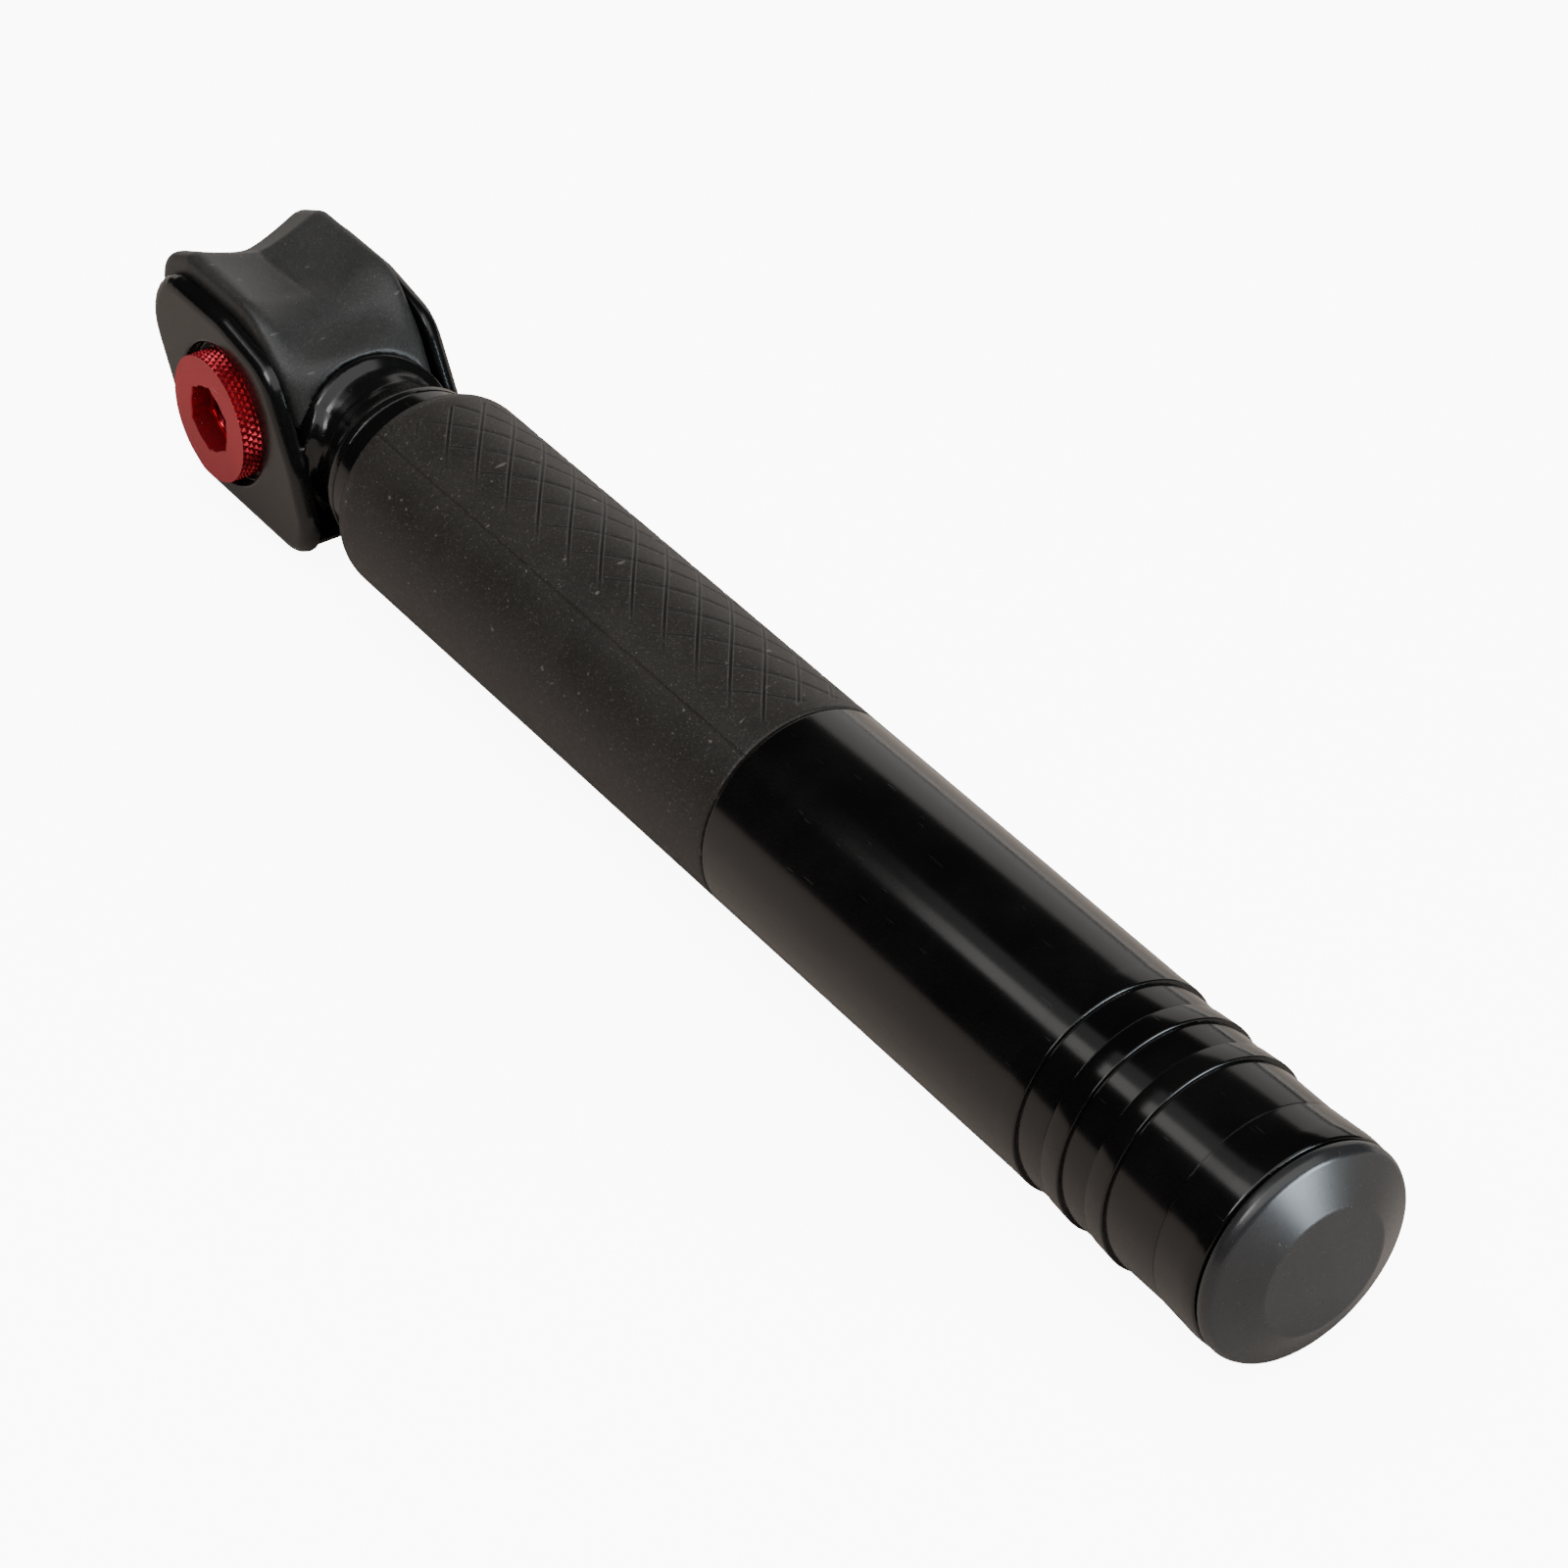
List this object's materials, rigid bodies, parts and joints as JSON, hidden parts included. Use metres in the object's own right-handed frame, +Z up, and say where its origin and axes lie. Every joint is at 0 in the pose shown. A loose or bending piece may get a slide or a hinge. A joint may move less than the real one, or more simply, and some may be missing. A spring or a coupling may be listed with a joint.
{
  "type": "shock pump",
  "caption": "Slim high-pressure hand pump for air suspension: rubber grip, sliding handle tube, thumb saddle head and a knurled threaded valve chuck.",
  "frame": {"origin": "on the pump's axis, where the rubber grip ends and the handle tube begins", "axes": "+X along the pump towards the end cap, -Y out of the valve chuck, +Z up through the thumb saddle"},
  "size_m": [0.2112, 0.0278, 0.0298],
  "materials": {
    "head_black": "satin black anodised, smooth",
    "saddle_rubber": "soft matt moulded rubber",
    "grip_rubber": "matt moulded rubber with an engraved diamond pattern",
    "tube_black": "black anodised, satin",
    "cap_black": "black anodised, turned and lightly blasted",
    "red_anodised": "red anodised, knurled rim",
    "bare_aluminium": "drawn, fine turned",
    "brass": "turned",
    "spring_steel": "plain",
    "polished_steel": "hard chromed rod",
    "seal_rubber": "nitrile rubber",
    "nylon": "natural nylon"
  },
  "bodies": {
    "pump_body": {"head_housing": "head_black", "thumb_saddle": "saddle_rubber", "chuck_circlip": "spring_steel", "chuck_gasket": "seal_rubber", "core_pin": "brass", "side_plug": "tube_black", "plug_oring": "seal_rubber", "check_valve_seat": "brass", "check_valve_spring": "spring_steel", "neck_collar": "tube_black", "body_tube": "bare_aluminium", "grip_sleeve": "grip_rubber", "pressure_barrel": "bare_aluminium", "barrel_oring": "seal_rubber", "barrel_gland": "bare_aluminium", "rod_bush": "brass", "rod_wiper": "seal_rubber", "stop_ring": "nylon"},
    "handle": {"handle_tube": "tube_black", "mouth_wiper": "seal_rubber", "handle_bush": "nylon", "end_cap": "cap_black", "cap_oring": "seal_rubber", "bump_ring": "seal_rubber", "piston_rod": "polished_steel", "rod_nut": "spring_steel", "piston_head": "bare_aluminium", "piston_seal": "seal_rubber", "wear_ring": "nylon"},
    "chuck": {"chuck_ring": "red_anodised", "chuck_oring": "seal_rubber"},
    "valve_ball": {"check_valve_ball": "spring_steel"}
  },
  "joints": [
    {"name": "pump_stroke", "type": "slide", "parent": "pump_body", "child": "handle", "axis": [1, 0, 0], "range_m": [0, 0.062]},
    {"name": "chuck_turn", "type": "hinge", "parent": "pump_body", "child": "chuck", "pos_m": [-0.10325, 0, 0], "axis": [0, -1, 0], "continuous": true},
    {"name": "valve_lift", "type": "slide", "parent": "pump_body", "child": "valve_ball", "axis": [-1, 0, 0], "range_m": [0, 0.001], "stiffness_N_per_m": 80, "springref_m": -0.002, "deforming": ["check_valve_spring"]}
  ]
}
